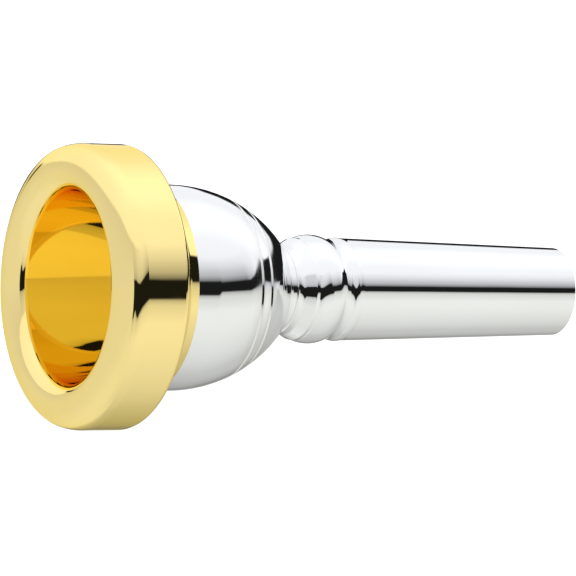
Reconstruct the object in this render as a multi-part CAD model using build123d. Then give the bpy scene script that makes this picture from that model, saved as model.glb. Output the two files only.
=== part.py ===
from build123d import *
import math
import os

# Large-shank trombone mouthpiece: three brass pieces screwed together, with two seal rings.
# The bore lies along X, with the rim at -X and the free end of the shank at the origin.
# A "station" is a distance in mm behind the crown of the rim.

# Driving dimensions (mm)
LENGTH = 80.0  # crown of the rim to the end of the shank
RIM_RADIUS = 19.35  # outside of the rim
CROWN_RADIUS = 15.65  # circle on which the playing face stands furthest forward
CUP_RADIUS = 14.06  # straight front part of the cup body
NECK_RADIUS = 5.98  # thinnest place, where the cup meets the shank
THROAT_RADIUS = 3.45
SHANK_END_RADIUS = 6.25
SHANK_TAPER = 1 / 20  # on the diameter
BACKBORE_END_RADIUS = 5.3

# Where the pieces meet (stations)
RIM_JOINT = 13.9  # shoulder of the rim on the mouth of the cup
RIM_COLLAR_END = 15.1  # plain part of the rim's spigot, in front of its screw
RIM_SPIGOT_END = 19.6
SHANK_SPIGOT_END = 28.24
SHANK_JOINT = 33.4  # shoulder of the shank on the back of the cup
SHANK_TAPER_START = 44.5

# Outline of the cup body
BARREL_END = 16.9
BELLY_ARC_RADIUS = 21.3
BELLY_ARC_ANGLE = 44.2
RING_STATIONS = (24.65, 26.6)  # two fine rings cut near the back of the cup
RING_HALF_WIDTH = 0.45
RING_DEPTH = 0.2

# Screw threads with a 60 degree profile, each from one station to another
PITCH = 1.0
THREAD_DEPTH = 0.5
THREAD_CREST = 0.16  # width of the flat on the crest
RIM_THREAD_RADIUS = 12.5  # crest of the rim's screw
RIM_SCREW = (15.5, 18.8)
RIM_SOCKET_SCREW = (14.5, 19.1)
SHANK_THREAD_RADIUS = 5.0  # crest of the shank's screw
SHANK_SCREW = (28.9, 32.1)
SHANK_SOCKET_SCREW = (28.65, 34.3)

# Clearances
THREAD_GAP = 0.08  # radial gap between a screw and its socket
FLANK_GAP = 0.02  # added to each side of a socket's groove
END_GAP = 0.04  # between the end of a spigot and the floor of its socket
FOOT_OVERLAP = 0.1  # how far a thread's foot reaches past its root
RIM_RELIEF = 0.07  # plain ends of the rim's socket, beyond the groove of its thread
SHANK_RELIEF = 0.04
SHANK_RUN_OUT = 0.2  # how far the relief at the floor reaches over the first turn

# Seal rings
SEAL_GAP = 0.04
RIM_SEAL_RADIUS = 12.2
RIM_SEAL_STATION = 14.55
RIM_SEAL_THICKNESS = 0.82
SHANK_SEAL_RADIUS = 4.3
SHANK_SEAL_STATION = 27.87
SHANK_SEAL_THICKNESS = 0.66

# Bead turned on the shank just behind the neck
BEAD_STATION = 34.15
BEAD_RADIUS = 6.0
BEAD_THICKNESS = 0.46

# Directions in an outline's plane
BACKWARD = (1, 0)
OUTWARD = (0, 1)
INWARD = (0, -1)


def at(station, radius):
    """Point of an outline, from its station and its distance from the bore's axis."""
    return (station - LENGTH, radius)


def bend(line, radius, angle):
    """Arc that carries a line on with no corner; a positive angle turns to the left."""
    return JernArc(line @ 1, line % 1, radius, angle)


def turned(lines, corners):
    """Solid turned about the bore's axis, from outline pieces closed by straight lines."""
    closing = Polyline(lines[-1] @ 1, *corners, lines[0] @ 0)
    face = make_face(Curve() + [*lines, closing])
    return revolve(face, Axis.X)


def tube(start, end, inner, outer):
    """Plain tube between two stations, or a bar where the inner radius is 0."""
    wall = Line(at(start, outer), at(end, outer))
    return turned([wall], [at(end, inner), at(start, inner)])


def v_groove(station, radius):
    """Ring of metal that a pointed tool takes away."""
    sides = Polyline(
        at(station - RING_HALF_WIDTH, radius + RING_DEPTH),
        at(station, radius - RING_DEPTH),
        at(station + RING_HALF_WIDTH, radius + RING_DEPTH),
    )
    return turned([sides], [])


def round_ring(station, radius, thickness):
    """Round-section ring around the bore's axis."""
    return revolve(Pos(*at(station, radius)) * Circle(thickness / 2), Axis.X)


def seal_seat(station, radius, thickness):
    """Square-sided groove with room for a seal ring."""
    half = thickness / 2 + SEAL_GAP
    return tube(station - half, station + half, radius - half, radius + half)


def thread(span, crest_radius, widen=0.0):
    """Right-hand helical ridge. Every thread follows the same endless helix, so they mesh."""
    start, end = span
    height = THREAD_DEPTH + FOOT_OVERLAP
    root_radius = crest_radius - height
    half_crest = THREAD_CREST / 2 + widen
    half_foot = half_crest + height * math.tan(math.radians(30))
    profile = [
        (root_radius, -half_foot),
        (crest_radius, -half_crest),
        (crest_radius, half_crest),
        (root_radius, half_foot),
    ]
    rails = [Edge.make_helix(PITCH, end - start, radius, (0, 0, shift)) for radius, shift in profile]
    sides = [Face.make_surface_from_curves(rails[i - 1], rails[i]) for i in range(len(rails))]
    caps = [Face(Wire.make_polygon([rail @ where for rail in rails])) for where in (0, 1)]
    ridge = Solid(Shell(sides + caps))
    phase = 360 * start / PITCH
    return Pos(start - LENGTH, 0, 0) * Rot(0, 90, 0) * Rot(0, 0, phase) * ridge


def air_passage():
    """The hollow that runs through every piece: cup, throat and backbore."""
    crown = JernArc(at(0, CROWN_RADIUS), INWARD, 2.7, 49)
    bite = bend(crown, 2.4, 35)
    bowl = Spline(
        bite @ 1,
        at(13.4, 9.8),
        at(21.5, 5.2),
        at(27.7, THROAT_RADIUS),
        tangents=[bite % 1, BACKWARD],
    )
    throat = Line(bowl @ 1, at(32.2, THROAT_RADIUS))
    backbore = Spline(
        throat @ 1,
        at(51.0, 4.4),
        at(LENGTH, BACKBORE_END_RADIUS),
        tangents=[BACKWARD, (1, 0.02)],
    )
    corners = [at(LENGTH + 1, BACKBORE_END_RADIUS), at(LENGTH + 1, 0), at(-1, 0), at(-1, CROWN_RADIUS)]
    return turned([crown, bite, bowl, throat, backbore], corners)


def rim():
    """Playing rim: rounded face and edge, swept back, and a screw that enters the cup."""
    face = JernArc(at(0, CROWN_RADIUS), OUTWARD, 4.7, -35)
    edge = bend(face, 1.9, -35)
    side = TangentArc(edge @ 1, at(3.3, RIM_RADIUS), tangent=edge % 1)
    back = FilletPolyline(
        side @ 1,
        at(9.4, RIM_RADIUS),
        at(12.0, 14.83),
        at(RIM_JOINT, CUP_RADIUS),
        radius=[0.9, 1.5],
    )
    body = turned([face, edge, side, back], [at(RIM_JOINT, 0), at(0, 0)])
    root = RIM_THREAD_RADIUS - THREAD_DEPTH
    collar = tube(RIM_JOINT, RIM_COLLAR_END, 0, RIM_THREAD_RADIUS)
    spigot = tube(RIM_JOINT, RIM_SPIGOT_END, 0, root)
    screw = thread(RIM_SCREW, RIM_THREAD_RADIUS)
    seat = seal_seat(RIM_SEAL_STATION, RIM_SEAL_RADIUS, RIM_SEAL_THICKNESS)
    return body + collar + spigot + screw - seat


def belly_radius(station):
    """Radius of the cup body's rounded outline."""
    along = station - BARREL_END
    return CUP_RADIUS - BELLY_ARC_RADIUS + math.sqrt(BELLY_ARC_RADIUS**2 - along**2)


def cup():
    """Cup body, with a socket at each end and two fine rings cut near its back."""
    barrel = Line(at(RIM_JOINT, CUP_RADIUS), at(BARREL_END, CUP_RADIUS))
    belly = bend(barrel, BELLY_ARC_RADIUS, -BELLY_ARC_ANGLE)
    cove = FilletPolyline(
        belly @ 1,
        at(32.5, 6.6),
        at(SHANK_JOINT - 0.45, NECK_RADIUS),
        at(SHANK_JOINT, NECK_RADIUS),
        radius=[0.5, 0.5],
    )
    body = turned([barrel, belly, cove], [at(SHANK_JOINT, 0), at(RIM_JOINT, 0)])
    for station in RING_STATIONS:
        body -= v_groove(station, belly_radius(station))
    for tool in (*rim_socket(), *shank_socket()):
        body -= tool
    return body


def rim_socket():
    """Tools that cut the threaded hollow in the mouth of the cup, the thread first."""
    crest = RIM_THREAD_RADIUS + THREAD_GAP
    relief = crest + RIM_RELIEF
    front = RIM_JOINT - 1
    bottom = RIM_SPIGOT_END + END_GAP
    mouth = tube(front, RIM_COLLAR_END + THREAD_GAP, 0, relief)
    bore = tube(front, bottom, 0, crest - THREAD_DEPTH)
    run_out = tube(RIM_SCREW[1], bottom, 0, relief)
    return thread(RIM_SOCKET_SCREW, crest, FLANK_GAP), mouth, bore, run_out


def shank_socket():
    """Tools that cut the threaded hollow in the back of the cup, the thread first."""
    crest = SHANK_THREAD_RADIUS + THREAD_GAP
    floor = SHANK_SPIGOT_END - END_GAP
    bore = tube(floor, SHANK_JOINT + 1, 0, crest - THREAD_DEPTH)
    run_out = tube(floor, SHANK_SCREW[0] + SHANK_RUN_OUT, 0, crest + SHANK_RELIEF)
    seat = seal_seat(SHANK_SEAL_STATION, SHANK_SEAL_RADIUS, SHANK_SEAL_THICKNESS)
    return thread(SHANK_SOCKET_SCREW, crest, FLANK_GAP), bore, run_out, seat


def shank():
    """Shank: neck bead, flare, bulb and collar, then the taper that fits the instrument."""
    neck = Line(at(SHANK_JOINT, NECK_RADIUS), at(33.9, NECK_RADIUS + 0.04))
    flare = FilletPolyline(
        neck @ 1,
        at(34.9, 6.15),
        at(36.55, 7.08),
        at(37.0, 7.1),
        radius=[2.5, 0.45],
    )
    bulb = JernArc(flare @ 1, (math.cos(math.radians(25)), math.sin(math.radians(25))), 5.1, -25)
    fall = bend(bulb, 4.4, -27)
    waist = bend(fall, 1.9, 52)
    collar = bend(waist, 1.6, -35)
    taper_start_radius = SHANK_END_RADIUS + (LENGTH - SHANK_TAPER_START) * SHANK_TAPER / 2
    settle = TangentArc(collar @ 1, at(SHANK_TAPER_START, taper_start_radius), tangent=collar % 1)
    taper = Line(settle @ 1, at(LENGTH, SHANK_END_RADIUS))
    outline = [neck, flare, bulb, fall, waist, collar, settle, taper]
    body = turned(outline, [at(LENGTH, 0), at(SHANK_JOINT, 0)])
    root = SHANK_THREAD_RADIUS - THREAD_DEPTH
    spigot = tube(SHANK_SPIGOT_END, SHANK_JOINT, 0, root)
    screw = thread(SHANK_SCREW, SHANK_THREAD_RADIUS)
    bead = round_ring(BEAD_STATION, BEAD_RADIUS, BEAD_THICKNESS)
    return body + bead + spigot + screw


def main():
    passage = air_passage()
    pieces = {
        "rim": rim() - passage,
        "rim_seal": round_ring(RIM_SEAL_STATION, RIM_SEAL_RADIUS, RIM_SEAL_THICKNESS),
        "cup": cup() - passage,
        "shank_seal": round_ring(SHANK_SEAL_STATION, SHANK_SEAL_RADIUS, SHANK_SEAL_THICKNESS),
        "shank": shank() - passage,
    }
    os.makedirs("parts", exist_ok=True)
    for name, piece in pieces.items():
        export_step(piece, f"parts/{name}.step")


main()
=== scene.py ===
import math

import bpy
import numpy as np
from mathutils import Euler, Matrix, Vector


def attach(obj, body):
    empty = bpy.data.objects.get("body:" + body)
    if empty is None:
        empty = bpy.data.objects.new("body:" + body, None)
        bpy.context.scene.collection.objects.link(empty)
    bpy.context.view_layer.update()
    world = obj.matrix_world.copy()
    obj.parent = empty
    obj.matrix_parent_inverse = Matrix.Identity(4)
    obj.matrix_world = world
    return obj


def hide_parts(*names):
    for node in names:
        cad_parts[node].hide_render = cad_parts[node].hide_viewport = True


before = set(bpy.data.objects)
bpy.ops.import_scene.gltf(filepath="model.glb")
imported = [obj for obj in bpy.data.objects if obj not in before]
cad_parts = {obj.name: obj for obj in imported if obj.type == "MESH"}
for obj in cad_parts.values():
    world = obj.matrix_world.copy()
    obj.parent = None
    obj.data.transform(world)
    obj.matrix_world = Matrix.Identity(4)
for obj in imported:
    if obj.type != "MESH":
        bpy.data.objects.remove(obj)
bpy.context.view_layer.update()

# Stations and radii are in mm, as in the CAD source: a station is a distance behind the crown of
# the rim, and the end of the shank is the origin.
MM = 0.001
LENGTH = 80.0
ROUND = 192  # steps round the axis
MIDDLE = Vector((-LENGTH / 2 * MM, 0, 0))

CROWN_RADIUS = 15.65
RIM_RADIUS = 19.35
CUP_RADIUS = 14.06
NECK_RADIUS = 5.98
THROAT_RADIUS = 3.45
SHANK_END_RADIUS = 6.25
BACKBORE_END_RADIUS = 5.3
BITE_END = 2.2

RIM_JOINT = 13.9
RIM_COLLAR_END = 15.1
RIM_SPIGOT_END = 19.6
SHANK_SPIGOT_END = 28.24
SHANK_JOINT = 33.4
SHANK_TAPER_START = 44.5
BARREL_END = 16.9
BELLY_ARC_RADIUS = 21.3
BELLY_ARC_ANGLE = 44.2
BEAD_SECTION_RADIUS = 0.23
BEAD_ARC_ANGLE = 144.15  # ends on the line that leads to the flare
RING_STATIONS = (24.65, 26.6)
RING_HALF_WIDTH = 0.45
RING_DEPTH = 0.2

THREAD_DEPTH = 0.5
THREAD_CREST = 0.16
THREAD_FLANK = 30  # degrees, half of the thread's angle
THREAD_FADE = 0.2  # the thread rises to full depth over this length at its ends
THREAD_RUN_OUT = 0.2  # plain length at the bottom of the shank's socket
RIM_SOCKET_RELIEF = 0.07  # plain bore beyond the thread, on the radius
SHANK_SOCKET_RELIEF = 0.04
THREAD_GAP = 0.08
FLANK_GAP = 0.02
END_GAP = 0.04
RIM_THREAD_RADIUS = 12.5
RIM_SCREW = (15.5, 18.8)
RIM_SOCKET_SCREW = (14.5, 19.1)
SHANK_THREAD_RADIUS = 5.0
SHANK_SCREW = (28.9, 32.1)
SHANK_SOCKET_SCREW = (28.65, 34.3)
SEAL_GAP = 0.04
RIM_SEAL = (14.55, 12.2, 0.82)  # station, radius, thickness
SHANK_SEAL = (27.87, 4.3, 0.66)

# Camera: far away with a long lens, turned so that the rim comes towards it
CAMERA_TURN = -30.957  # degrees from a plain side view
CAMERA_ROLL = 0.58
LENS = 276.8
RIM_IN_VIEW = Vector((-0.030913, 0.000192, -0.59418))  # crown's centre in the camera's own frame


def unit(angle):
    return (math.cos(math.radians(angle)), math.sin(math.radians(angle)))


class Outline:
    """Half section of a turned piece, drawn point by point with its direction at each point.

    It is a list of strokes. Inside a stroke the surface is smooth, and strokes meet in a corner.
    """

    STEP = 5.0  # degrees along an arc
    EDGE = 0.2  # worn strip beside a corner
    SCREW_STEP = 0.05  # along a threaded run

    def __init__(self, station, radius, heading):
        self.place = (station, radius)
        self.heading = heading
        self.strokes = [[(self.place, heading)]]
        self.screws = {}
        self.finishes = [0]
        self.finish = 0

    def note(self, place, heading):
        self.strokes[-1].append((place, heading))
        self.place = place
        self.heading = heading

    def corner(self, heading):
        self.heading = heading
        self.strokes.append([(self.place, heading)])
        self.finishes.append(self.finish)

    def line(self, station, radius):
        """Straight run to a point, in the direction that leads there, with a corner before it."""
        along, out = station - self.place[0], radius - self.place[1]
        heading = math.degrees(math.atan2(out, along))
        if abs((heading - self.heading + 180) % 360 - 180) > 0.01:
            self.corner(heading)
        length = math.hypot(along, out)
        if length > 2 * self.EDGE:
            for reach in (self.EDGE, length - self.EDGE):
                left = 1 - reach / length
                self.note((station - along * left, radius - out * left), heading)
        self.note((station, radius), heading)

    def forward(self, length):
        c, s = unit(self.heading)
        self.note((self.place[0] + c * length, self.place[1] + s * length), self.heading)

    def arc(self, radius, angle):
        """Arc with no corner before it; a positive angle turns towards the outside."""
        side = math.copysign(1, angle)
        start = self.heading
        c, s = unit(start)
        centre = (self.place[0] - s * radius * side, self.place[1] + c * radius * side)
        steps = max(3, math.ceil(abs(angle) / self.STEP))
        for i in range(1, steps + 1):
            heading = start + angle * i / steps
            c, s = unit(heading)
            self.note((centre[0] + s * radius * side, centre[1] - c * radius * side), heading)

    def arc_to(self, station, radius):
        """Arc that leaves in the present direction and ends at a point."""
        c, s = unit(self.heading)
        along, out = station - self.place[0], radius - self.place[1]
        across = c * out - s * along
        ahead = c * along + s * out
        self.arc((along**2 + out**2) / (2 * abs(across)), 2 * math.degrees(math.atan2(across, ahead)))

    def rounded(self, corners, radii):
        """Straight runs through corners, each rounded, to the last point."""
        points = [self.place, *corners]
        for i, radius in enumerate(radii):
            before, at, after = points[i], points[i + 1], points[i + 2]
            head_in = math.degrees(math.atan2(at[1] - before[1], at[0] - before[0]))
            head_out = math.degrees(math.atan2(after[1] - at[1], after[0] - at[0]))
            turn = (head_out - head_in + 180) % 360 - 180
            reach = radius * math.tan(math.radians(abs(turn)) / 2)
            c, s = unit(head_in)
            self.line(at[0] - c * reach, at[1] - s * reach)
            self.arc(radius, turn)
        self.line(*points[-1])

    def spline(self, points, heading, steps=14):
        """Smooth curve through points that ends in a given direction."""
        nodes = np.array([self.place, *points])
        runs = np.linalg.norm(np.diff(nodes, axis=0), axis=1)
        count = len(nodes)
        system = np.eye(count)
        wanted = np.zeros((count, 2))
        wanted[0] = unit(self.heading)
        wanted[-1] = unit(heading)
        slopes = np.diff(nodes, axis=0) / runs[:, None]
        for i in range(1, count - 1):
            before, after = runs[i - 1], runs[i]
            system[i, i - 1 : i + 2] = (after, 2 * (before + after), before)
            wanted[i] = 3 * (after * slopes[i - 1] + before * slopes[i])
        tangents = np.linalg.solve(system, wanted)
        for i in range(count - 1):
            run = runs[i]
            for k in range(1, steps + 1):
                t = k / steps
                weights = (2 * t**3 - 3 * t**2 + 1, 3 * t**2 - 2 * t**3)
                pulls = (t**3 - 2 * t**2 + t, t**3 - t**2)
                place = weights[0] * nodes[i] + weights[1] * nodes[i + 1]
                place = place + run * (pulls[0] * tangents[i] + pulls[1] * tangents[i + 1])
                speed = (6 * t**2 - 6 * t) * (nodes[i] - nodes[i + 1]) / run
                speed = speed + (3 * t**2 - 4 * t + 1) * tangents[i] + (3 * t**2 - 2 * t) * tangents[i + 1]
                self.note(tuple(place), math.degrees(math.atan2(speed[1], speed[0])))

    def screw(self, station, crest, span, half_crest):
        """Threaded run to a station, along the axis. Its surface is worked out ring by ring."""
        start = self.place[0]
        self.corner(0 if station > start else 180)
        steps = math.ceil(abs(station - start) / self.SCREW_STEP)
        for i in range(1, steps + 1):
            self.note((start + (station - start) * i / steps, self.place[1]), self.heading)
        self.screws[len(self.strokes) - 1] = (crest, span, half_crest)


def thread_radius(station, turn, crest, span, half_crest):
    """Distance from the axis to a screw's surface: one endless helix for every thread."""
    phase = station - turn / (2 * math.pi)
    away = abs(phase - round(phase))
    ridge = station - (phase - round(phase))
    fade = min(1.0, max(0.0, min(ridge - span[0], span[1] - ridge) / THREAD_FADE))
    drop = (away - half_crest) / math.tan(math.radians(THREAD_FLANK))
    return crest - THREAD_DEPTH + fade * (THREAD_DEPTH - min(THREAD_DEPTH, max(0.0, drop)))


def ring_points(place, turns, screw):
    station, radius = place
    if screw is None:
        radii = np.full(len(turns), radius)
    else:
        radii = np.array([thread_radius(station, turn, *screw) for turn in turns])
    along = np.full(len(turns), (station - LENGTH) * MM)
    return np.stack([along, radii * np.sin(turns) * MM, -radii * np.cos(turns) * MM], axis=1)


def corner_wear(strokes):
    """For each stroke, 1 if it ends in an outer corner and 0 if not."""
    wear = []
    for number, stroke in enumerate(strokes):
        after = strokes[(number + 1) % len(strokes)]
        turn = (after[0][1] - stroke[-1][1] + 180) % 360 - 180
        wear.append(1.0 if turn < -15 else 0.0)
    return wear


def lathe(name, outline, materials):
    """Mesh of a turned piece, with the exact normal at every corner of every face."""
    turns = np.linspace(0, 2 * math.pi, ROUND, endpoint=False)
    corners = corner_wear(outline.strokes)
    rings, wear, normals, quads = [], [], [], []
    for number, stroke in enumerate(outline.strokes):
        screw = outline.screws.get(number)
        for i, (place, heading) in enumerate(stroke):
            last = i == len(stroke) - 1
            if i or not rings:
                threaded = screw or (outline.screws.get(number + 1) if last else None)
                rings.append(ring_points(place, turns, threaded))
                wear.extend([corners[number] if last else 0.0] * ROUND)
            c, s = unit(heading)
            if i:
                quads.append((len(rings) - 2, len(rings) - 1, len(normals) - 1, len(normals), number))
            normals.append(np.stack([np.full(ROUND, -s), c * np.sin(turns), -c * np.cos(turns)], axis=1))
    rings.pop()  # the outline ends where it starts
    faces, loop_normals, slots = [], [], []
    for first, second, first_normal, second_normal, number in quads:
        second = second % len(rings)
        threaded = number in outline.screws
        for j in range(ROUND):
            k = (j + 1) % ROUND
            a, b = first * ROUND, second * ROUND
            faces.append((a + j, a + k, b + k, b + j))
            if threaded:
                one, two = rings[first], rings[second]
                normal = np.cross(two[k] - one[j], two[j] - one[k])
                loop_normals.extend([normal / np.linalg.norm(normal)] * 4)
            else:
                one, two = normals[first_normal], normals[second_normal]
                loop_normals.extend([one[j], one[k], two[k], two[j]])
            slots.append(outline.finishes[number])
    made = mesh_object(name, np.concatenate(rings), faces)
    mesh = made.data
    for material in materials:
        mesh.materials.append(material)
    mesh.polygons.foreach_set("material_index", slots)
    mesh.polygons.foreach_set("use_smooth", [True] * len(faces))
    mesh.attributes.new("wear", "FLOAT", "POINT").data.foreach_set("value", wear[: len(mesh.vertices)])
    mesh.normals_split_custom_set([tuple(n) for n in loop_normals])
    return made


def mesh_object(name, points, faces):
    mesh = bpy.data.meshes.new(name)
    mesh.from_pydata([tuple(p) for p in points], [], faces)
    mesh.update()
    made = bpy.data.objects.new(name, mesh)
    bpy.context.scene.collection.objects.link(made)
    return made


def passage(start, end):
    """Points of the air passage between two stations, going backward."""
    whole = Outline(0, CROWN_RADIUS, -90)
    whole.arc(2.7, 49)
    whole.arc(2.4, 35)
    whole.spline([(13.4, 9.8), (21.5, 5.2), (27.7, THROAT_RADIUS)], 0)
    whole.line(32.2, THROAT_RADIUS)
    whole.spline([(51.0, 4.4), (LENGTH, BACKBORE_END_RADIUS)], math.degrees(math.atan(0.02)), 12)
    points = [point for stroke in whole.strokes for point in stroke]
    stations = [place[0] for place, heading in points]
    radii = [place[1] for place, heading in points]
    headings = [heading for place, heading in points]

    def between(station):
        radius = float(np.interp(station, stations, radii))
        return ((station, radius), float(np.interp(station, stations, headings)))

    inside = [point for point in points if start < point[0][0] < end]
    return [between(start), *inside, between(end)]


def forward_passage(outline, start, end):
    """Adds the passage's surface, from the further station to the nearer one."""
    points = passage(end, start)[::-1]
    if math.dist(outline.place, points[0][0]) > 0.001:
        outline.line(*points[0][0])
    outline.corner(points[0][1] + 180)
    for place, heading in points[1:]:
        outline.note(place, heading + 180)


def rim_outline():
    shape = Outline(0, CROWN_RADIUS, 90)
    shape.arc(4.7, -35)
    shape.arc(1.9, -35)
    shape.arc_to(3.3, RIM_RADIUS)
    shape.rounded([(9.4, RIM_RADIUS), (12.0, 14.83), (RIM_JOINT, CUP_RADIUS)], [0.9, 1.5])
    station, radius, thickness = RIM_SEAL
    half = thickness / 2 + SEAL_GAP
    root = RIM_THREAD_RADIUS - THREAD_DEPTH
    shape.line(RIM_JOINT, RIM_THREAD_RADIUS)
    shape.line(station - half, RIM_THREAD_RADIUS)
    shape.line(station - half, radius - half)
    shape.line(station + half, radius - half)
    shape.line(station + half, RIM_THREAD_RADIUS)
    shape.line(RIM_COLLAR_END, RIM_THREAD_RADIUS)
    shape.line(RIM_COLLAR_END, root)
    shape.screw(RIM_SPIGOT_END, RIM_THREAD_RADIUS, RIM_SCREW, THREAD_CREST / 2)
    shape.finish = 1
    forward_passage(shape, RIM_SPIGOT_END, BITE_END)
    shape.finish = 0
    forward_passage(shape, BITE_END, 0)
    return shape


def belly_radius(station):
    along = station - BARREL_END
    return CUP_RADIUS - BELLY_ARC_RADIUS + math.sqrt(BELLY_ARC_RADIUS**2 - along**2)


def cup_outline():
    shape = Outline(RIM_JOINT, CUP_RADIUS, 0)
    shape.forward(BARREL_END - RIM_JOINT)
    turned = 0.0
    for station in RING_STATIONS:
        # The ring's lips, where the pointed tool meets the belly
        lips = (station - RING_HALF_WIDTH / 2, station + RING_HALF_WIDTH / 2)
        before = math.degrees(math.asin((lips[0] - BARREL_END) / BELLY_ARC_RADIUS))
        after = math.degrees(math.asin((lips[1] - BARREL_END) / BELLY_ARC_RADIUS))
        shape.arc(BELLY_ARC_RADIUS, -(before - turned))
        shape.line(station, belly_radius(station) - RING_DEPTH)
        shape.line(lips[1], belly_radius(lips[1]))
        shape.corner(-after)
        turned = after
    shape.arc(BELLY_ARC_RADIUS, -(BELLY_ARC_ANGLE - turned))
    cove = [(32.5, 6.6), (SHANK_JOINT - 0.45, NECK_RADIUS), (SHANK_JOINT, NECK_RADIUS)]
    shape.rounded(cove, [0.5, 0.5])
    crest = SHANK_THREAD_RADIUS + THREAD_GAP
    floor = SHANK_SPIGOT_END - END_GAP
    station, radius, thickness = SHANK_SEAL
    half = thickness / 2 + SEAL_GAP
    shape.line(SHANK_JOINT, crest - THREAD_DEPTH)
    bottom = SHANK_SCREW[0] + THREAD_RUN_OUT
    relief = crest + SHANK_SOCKET_RELIEF
    shape.screw(bottom, crest, SHANK_SOCKET_SCREW, THREAD_CREST / 2 + FLANK_GAP)
    shape.line(bottom, relief)
    shape.line(floor, relief)
    shape.line(floor, radius + half)
    shape.line(station - half, radius + half)
    shape.line(station - half, radius - half)
    shape.line(floor, radius - half)
    shape.finish = 1
    forward_passage(shape, floor, RIM_SPIGOT_END + END_GAP)
    shape.finish = 0
    crest = RIM_THREAD_RADIUS + THREAD_GAP
    relief = crest + RIM_SOCKET_RELIEF
    shape.line(RIM_SPIGOT_END + END_GAP, relief)
    shape.line(RIM_SCREW[1], relief)
    shape.line(RIM_SCREW[1], crest - THREAD_DEPTH)
    shape.screw(RIM_COLLAR_END + THREAD_GAP, crest, RIM_SOCKET_SCREW, THREAD_CREST / 2 + FLANK_GAP)
    shape.line(RIM_COLLAR_END + THREAD_GAP, relief)
    shape.line(RIM_JOINT, relief)
    shape.line(RIM_JOINT, CUP_RADIUS)
    return shape


def shank_outline():
    shape = Outline(SHANK_JOINT, NECK_RADIUS, 0)
    shape.line(33.9, 6.02)
    bead = Outline(33.93, 6.02, 80)
    bead.arc(BEAD_SECTION_RADIUS, -BEAD_ARC_ANGLE)
    first, *others = bead.strokes[0]
    shape.line(*first[0])
    shape.corner(first[1])
    for place, heading in others:
        shape.note(place, heading)
    shape.rounded([(34.9, 6.15), (36.55, 7.08), (37.0, 7.1)], [2.5, 0.45])
    shape.corner(25)
    shape.arc(5.1, -25)
    shape.arc(4.4, -27)
    shape.arc(1.9, 52)
    shape.arc(1.6, -35)
    shape.arc_to(SHANK_TAPER_START, SHANK_END_RADIUS + (LENGTH - SHANK_TAPER_START) / 40)
    shape.line(LENGTH, SHANK_END_RADIUS)
    shape.line(LENGTH, BACKBORE_END_RADIUS)
    forward_passage(shape, LENGTH, SHANK_SPIGOT_END)
    shape.line(SHANK_SPIGOT_END, SHANK_THREAD_RADIUS - THREAD_DEPTH)
    shape.screw(SHANK_JOINT, SHANK_THREAD_RADIUS, SHANK_SCREW, THREAD_CREST / 2)
    shape.line(SHANK_JOINT, NECK_RADIUS)
    return shape


class Nodes:
    """A material's node tree, built node by node."""

    def __init__(self, name):
        self.material = bpy.data.materials.new(name)
        self.material.use_nodes = True
        self.tree = self.material.node_tree
        self.shader = self.tree.nodes["Principled BSDF"]

    def add(self, kind, settings=(), **inputs):
        """New node. An input is a plain value or another node's output."""
        made = self.tree.nodes.new("ShaderNode" + kind)
        for key, value in dict(settings).items():
            setattr(made, key, value)
        for key, value in inputs.items():
            self.feed(made, key.replace("_", " "), value)
        return made

    def feed(self, target, key, value):
        socket = next(place for place in target.inputs if place.name == key and place.enabled)
        if isinstance(value, bpy.types.NodeSocket):
            self.tree.links.new(value, socket)
        else:
            socket.default_value = value

    def noise(self, scale, detail):
        """Noise in the piece's own space, with a scale along each axis in features per metre."""
        place = self.add("TexCoord").outputs["Object"]
        sized = self.add("Mapping", Vector=place, Scale=scale).outputs[0]
        return self.add("TexNoise", Vector=sized, Scale=1.0, Detail=detail).outputs["Fac"]

    def between(self, value, start, end, low, high):
        sockets = {"From_Min": start, "From_Max": end, "To_Min": low, "To_Max": high}
        return self.add("MapRange", Value=value, **sockets).outputs[0]

    def sum(self, first, second):
        made = self.add("Math", {"operation": "ADD"})
        self.tree.links.new(first, made.inputs[0])
        self.tree.links.new(second, made.inputs[1])
        return made.outputs[0]

    def blend(self, share, first, second):
        made = self.add("Mix", {"data_type": "RGBA"}, Factor=share)
        for key, colour in (("A", first), ("B", second)):
            self.feed(made, key, colour if isinstance(colour, bpy.types.NodeSocket) else (*colour, 1))
        return next(place for place in made.outputs if place.enabled)

    def bump(self, height, distance, before=None):
        made = self.add("Bump", Height=height, Distance=distance, Strength=1.0)
        if before is not None:
            self.feed(made, "Normal", before)
        return made.outputs[0]


def plated(name, colour, deep, worn, edge):
    """Polished plating: fine turning lines, a faint haze, soft waves and paler, duller edges."""
    nodes = Nodes(name)
    lines = nodes.noise((5200, 55, 55), 3.0)
    haze = nodes.noise((420, 420, 420), 5.0)
    cloud = nodes.noise((75, 75, 75), 2.0)
    wear = nodes.add("Attribute", {"attribute_name": "wear"}).outputs["Fac"]
    shade = nodes.between(cloud, 0.35, 0.7, 0.0, 1.0)
    base = nodes.blend(wear, nodes.blend(shade, colour, deep), worn)
    rough = nodes.between(lines, 0.3, 0.75, 0.018, 0.04)
    rough = nodes.sum(rough, nodes.between(haze, 0.45, 0.8, 0.0, 0.045))
    rough = nodes.sum(rough, nodes.between(wear, 0.0, 1.0, 0.0, 0.12))
    waves = nodes.bump(cloud, 0.000025)
    normal = nodes.bump(lines, 0.0000009, waves)
    nodes.feed(nodes.shader, "Base Color", base)
    nodes.feed(nodes.shader, "Roughness", rough)
    nodes.feed(nodes.shader, "Normal", normal)
    nodes.feed(nodes.shader, "Metallic", 1.0)
    nodes.feed(nodes.shader, "Specular Tint", (*edge, 1))
    return nodes.material


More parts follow.
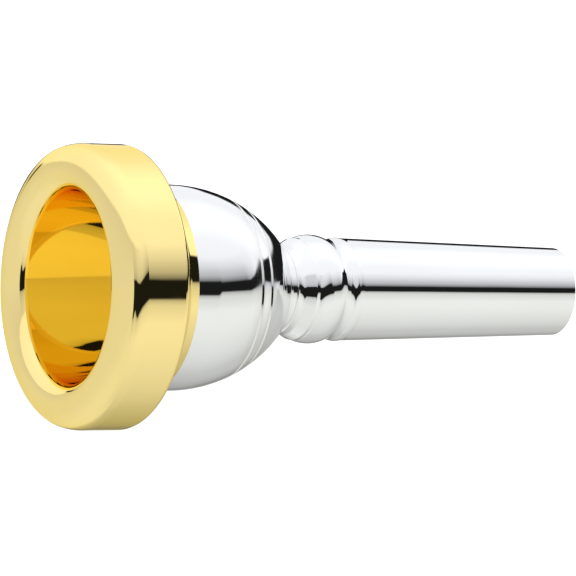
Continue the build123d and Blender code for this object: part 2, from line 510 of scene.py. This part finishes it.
def rubber():
    nodes = Nodes("seal_rubber")
    grain = nodes.noise((1600, 1600, 1600), 4.0)
    shade = nodes.between(grain, 0.3, 0.7, 0.0, 1.0)
    nodes.feed(nodes.shader, "Base Color", nodes.blend(shade, (0.012, 0.012, 0.013), (0.03, 0.03, 0.031)))
    nodes.feed(nodes.shader, "Roughness", nodes.between(grain, 0.3, 0.7, 0.42, 0.62))
    nodes.feed(nodes.shader, "Normal", nodes.bump(grain, 0.00002))
    return nodes.material


def plain(name, colour):
    material = bpy.data.materials.new(name)
    material.use_nodes = True
    shader = material.node_tree.nodes["Principled BSDF"]
    shader.inputs["Base Color"].default_value = (*colour, 1)
    shader.inputs["Roughness"].default_value = 0.9
    return material


def glowing(name):
    """Material that shines with the colour stored at each point of the mesh."""
    material = bpy.data.materials.new(name)
    material.use_nodes = True
    tree = material.node_tree
    tree.nodes.clear()
    out = tree.nodes.new("ShaderNodeOutputMaterial")
    emit = tree.nodes.new("ShaderNodeEmission")
    stored = tree.nodes.new("ShaderNodeVertexColor")
    stored.layer_name = "light"
    tree.links.new(stored.outputs["Color"], emit.inputs["Color"])
    tree.links.new(emit.outputs[0], out.inputs[0])
    return material


DARK = 0.012
SEAM = -196  # the tent's turns run from here once round
TENT = 300.0  # radius of the light tent, in mm
WORLD_STRENGTH = 1.35
FLOOR_REACH = 3  # metres
FLOOR_LEVEL = -0.075
COOL = (0.985, 1.03)  # red and blue of its upper half, against green
WARM = (0.99, 0.96)


def spread(value, *stops):
    """Interpolates between (position, result) stops."""
    return float(np.interp(value, [s[0] for s in stops], [s[1] for s in stops]))


# The dark front of the studio as (turn, lower edge, upper edge): a slot with the camera's side of
# the tent at its left, seen lower down there, and a wall at its right that climbs and falls again.
DARK_EDGES = (
    (-196, 12.6, 16.5), (-184, 12.6, 16.5), (-180, 7, 12), (-154, 8, 18), (-145, 8, 28),
    (-135, 6, 27), (-120, 5, 21), (-95, 5, 20), (-80, 5, 20), (-74, 6, 21),
    (-66, 3, 15), (-61, 1, 10), (-56, -1, 7), (-28, -3, 5), (-26, -6, 6),
    (-21.3, -8, 4.5), (-19, -8, 9), (-14.5, -8.7, 10.8), (-8, -10.5, 9.3), (1, -13.5, 6),
    (7.5, -17, 3.5), (10.5, -19, 2.2), (13.5, -21.5, 2), (20, -19, 3), (27, -15, 4),
    (34, -16, 4), (37, -19, 4), (46, -19, 4),
)


# Brightness round the tent, by degrees up and over from the front, and down from it round beneath to the
# back
CEILING = (
    (0, 0.92), (20, 0.96), (34, 1.06), (54, 1.09), (74, 1.22), (93, 1.24), (118, 1.05), (180, 0.98),
)
# The floor's dip to 0.66 straight below and behind the piece is its painted shadow on the floor, seen in
# the metal
FLOOR = (
    (0, 0.9), (27, 0.98), (40, 0.97), (57, 0.92), (82, 0.82), (110, 0.66), (150, 0.66), (180, 0.88),
)
# Where the wall behind the camera ends and the ceiling starts, as (turn, rise)
CEILING_EDGE = ((-196, 15), (-165, 15), (30, 28), (64, 27), (100, 25), (150, 15), (180, 15))


def open_light(turn, rise):
    """Light of the tent without its dark parts."""
    ahead = math.cos(math.radians(turn)) * math.cos(math.radians(rise))
    over = math.degrees(math.atan2(math.sin(math.radians(rise)), ahead))
    if rise >= 0:
        right = spread(over, *CEILING)
        edge = spread(turn, *CEILING_EDGE)
        left = spread(rise, (0, 0.83), (edge, 0.76), (edge + 3, 1.06), (60, 1.12), (90, 1.2))
    else:
        right = spread(-over, *FLOOR)
        left = spread(-rise, (0, 0.83), (18, 0.84), (36, 0.9), (60, 0.9), (75, 0.87), (90, 0.8))
    share = spread(turn, (-196, 1), (-180, 1), (-165, 0), (0, 0), (30, 1))
    return right + (left - right) * share


def tent_light(turn, rise):
    """Light from a direction. Turn is degrees from the front (-Y) towards -X, rise degrees up."""
    turn = (turn - SEAM) % 360 + SEAM
    light = open_light(turn, rise)
    # Painted shadow of the piece on the floor below and behind it, away from the camera: the tent's light
    # is dimmed there
    painted_shadow = spread(turn, (-172, 0), (-160, 1), (-145, 1), (-125, 0.35), (-100, 0))
    light *= 1 - painted_shadow * spread(rise, (-75, 0), (-45, 0.2), (-32, 0.35), (-22, 0.6), (-12, 0.4), (0, 0))
    sides = spread(turn, (-196, 1), (-191.5, 1), (-191, 0), (-184, 0), (-176, 1), (43, 1), (46, 0))
    low = spread(turn, *[(edge[0], edge[1]) for edge in DARK_EDGES])
    high = spread(turn, *[(edge[0], edge[2]) for edge in DARK_EDGES])
    if rise < low:
        lit = spread(rise - low, (-18, 1.0), (-5, 0.86), (-1.5, 0.6), (0, 0.0))
    else:
        hard = spread(rise - high, (0, 0.0), (1.5, 1.0))
        slow = spread(rise - high, (0, 0.0), (2, 0.28), (6, 0.57), (15, 0.84), (25, 1.0))
        glow = spread(turn, (-66, 0.0), (-52, 1.0), (-20, 1.0), (5, 0.5), (30, 0.5))
        lit = hard + (slow - hard) * glow
    return max(DARK, light * (1 - sides * (1 - lit)))


def set_tent():
    """The walls, floor and ceiling of a light tent, seen only in the metal."""
    rises = sorted({*np.arange(-28, 28.1, 0.5), *np.arange(-88, 89, 2)})
    steps = 360  # round each level
    points, colours, faces = [], [], []
    for number, rise in enumerate(rises):
        c, s = unit(rise)
        for j in range(steps):
            angle = math.radians(j * 360 / steps)
            points.append(MIDDLE + Vector((-math.sin(angle) * c, -math.cos(angle) * c, s)) * TENT * MM)
            light = tent_light(j * 360 / steps, rise)
            tint = WARM if rise < 0 else COOL
            colours.extend((light * tint[0], light, light * tint[1], 1.0))
            if number:
                k = (j + 1) % steps
                a, b = (number - 1) * steps, number * steps
                faces.append((a + j, a + k, b + k, b + j))
    for end, first in ((-1, 0), (1, (len(rises) - 1) * steps)):
        points.append(MIDDLE + Vector((0, 0, end * TENT * MM)))
        light = open_light(0, end * 90)
        colours.extend((light, light, light, 1.0))
        faces.extend((first + j, first + (j + 1) % steps, len(points) - 1) for j in range(steps))
    tent = mesh_object("tent", points, faces)
    stored = tent.data.color_attributes.new("light", "FLOAT_COLOR", "POINT")
    stored.data.foreach_set("color", colours)
    tent.data.materials.append(glowing("tent_light"))
    tent.visible_camera = False
    tent.visible_diffuse = False
    tent.visible_shadow = False
    tent.visible_transmission = False


def set_studio():
    set_tent()
    world = bpy.data.worlds.new("studio")
    bpy.context.scene.world = world
    world.use_nodes = True
    tree = world.node_tree
    tree.nodes["Background"].inputs["Color"].default_value = (1.0, 1.0, 1.0, 1)
    tree.nodes["Background"].inputs["Strength"].default_value = WORLD_STRENGTH
    sides = ((-1, -1), (1, -1), (1, 1), (-1, 1))
    corners = [(x * FLOOR_REACH, y * FLOOR_REACH, FLOOR_LEVEL) for x, y in sides]
    floor = mesh_object("floor", corners, [(0, 1, 2, 3)])
    floor.data.materials.append(plain("floor", (0.84, 0.84, 0.84)))
    floor.visible_glossy = False


def set_camera():
    data = bpy.data.cameras.new("camera")
    data.lens = LENS
    data.sensor_width = 36.0
    data.clip_start = 0.01
    data.clip_end = 20.0
    camera = bpy.data.objects.new("camera", data)
    bpy.context.scene.collection.objects.link(camera)
    turned = Euler((math.radians(90), 0, math.radians(CAMERA_TURN))).to_matrix()
    turned = turned @ Matrix.Rotation(math.radians(CAMERA_ROLL), 3, "Z")
    rim_centre = Vector((-LENGTH * MM, 0, 0))
    camera.matrix_world = Matrix.Translation(rim_centre - turned @ RIM_IN_VIEW) @ turned.to_4x4()
    bpy.context.scene.camera = camera


def build_object():
    # Each plating's colour, its deeper shade, its colour at worn edges and its tint at grazing angles
    gold = plated(
        "gold_plate", (0.99, 0.805, 0.35), (0.97, 0.775, 0.32), (0.95, 0.80, 0.45), (1.0, 0.9, 0.55)
    )
    inside = plated(
        "gold_plate_inside", (0.93, 0.70, 0.17), (0.91, 0.675, 0.15), (0.92, 0.70, 0.22), (1.0, 0.98, 0.9)
    )
    silver = plated(
        "silver_plate", (0.87, 0.875, 0.88), (0.85, 0.853, 0.85), (0.80, 0.79, 0.77), (1.0, 1.0, 1.0)
    )
    seal = rubber()
    made = {
        "rim": (lathe("rim_turned", rim_outline(), [gold, inside]), "gold_plate"),
        "cup": (lathe("cup_turned", cup_outline(), [silver, inside]), "silver_plate"),
        "shank": (lathe("shank_turned", shank_outline(), [silver]), "silver_plate"),
    }
    for body, (piece, slot) in made.items():
        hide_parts(body)
        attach(piece, body)
    for name in ("rim_seal", "shank_seal"):
        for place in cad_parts[name].material_slots:
            place.material = seal


set_camera()
build_object()
set_studio()
bpy.context.scene.view_settings.view_transform = "Standard"
bpy.context.scene.cycles.glossy_bounces = 12  # light turns many times inside the cup
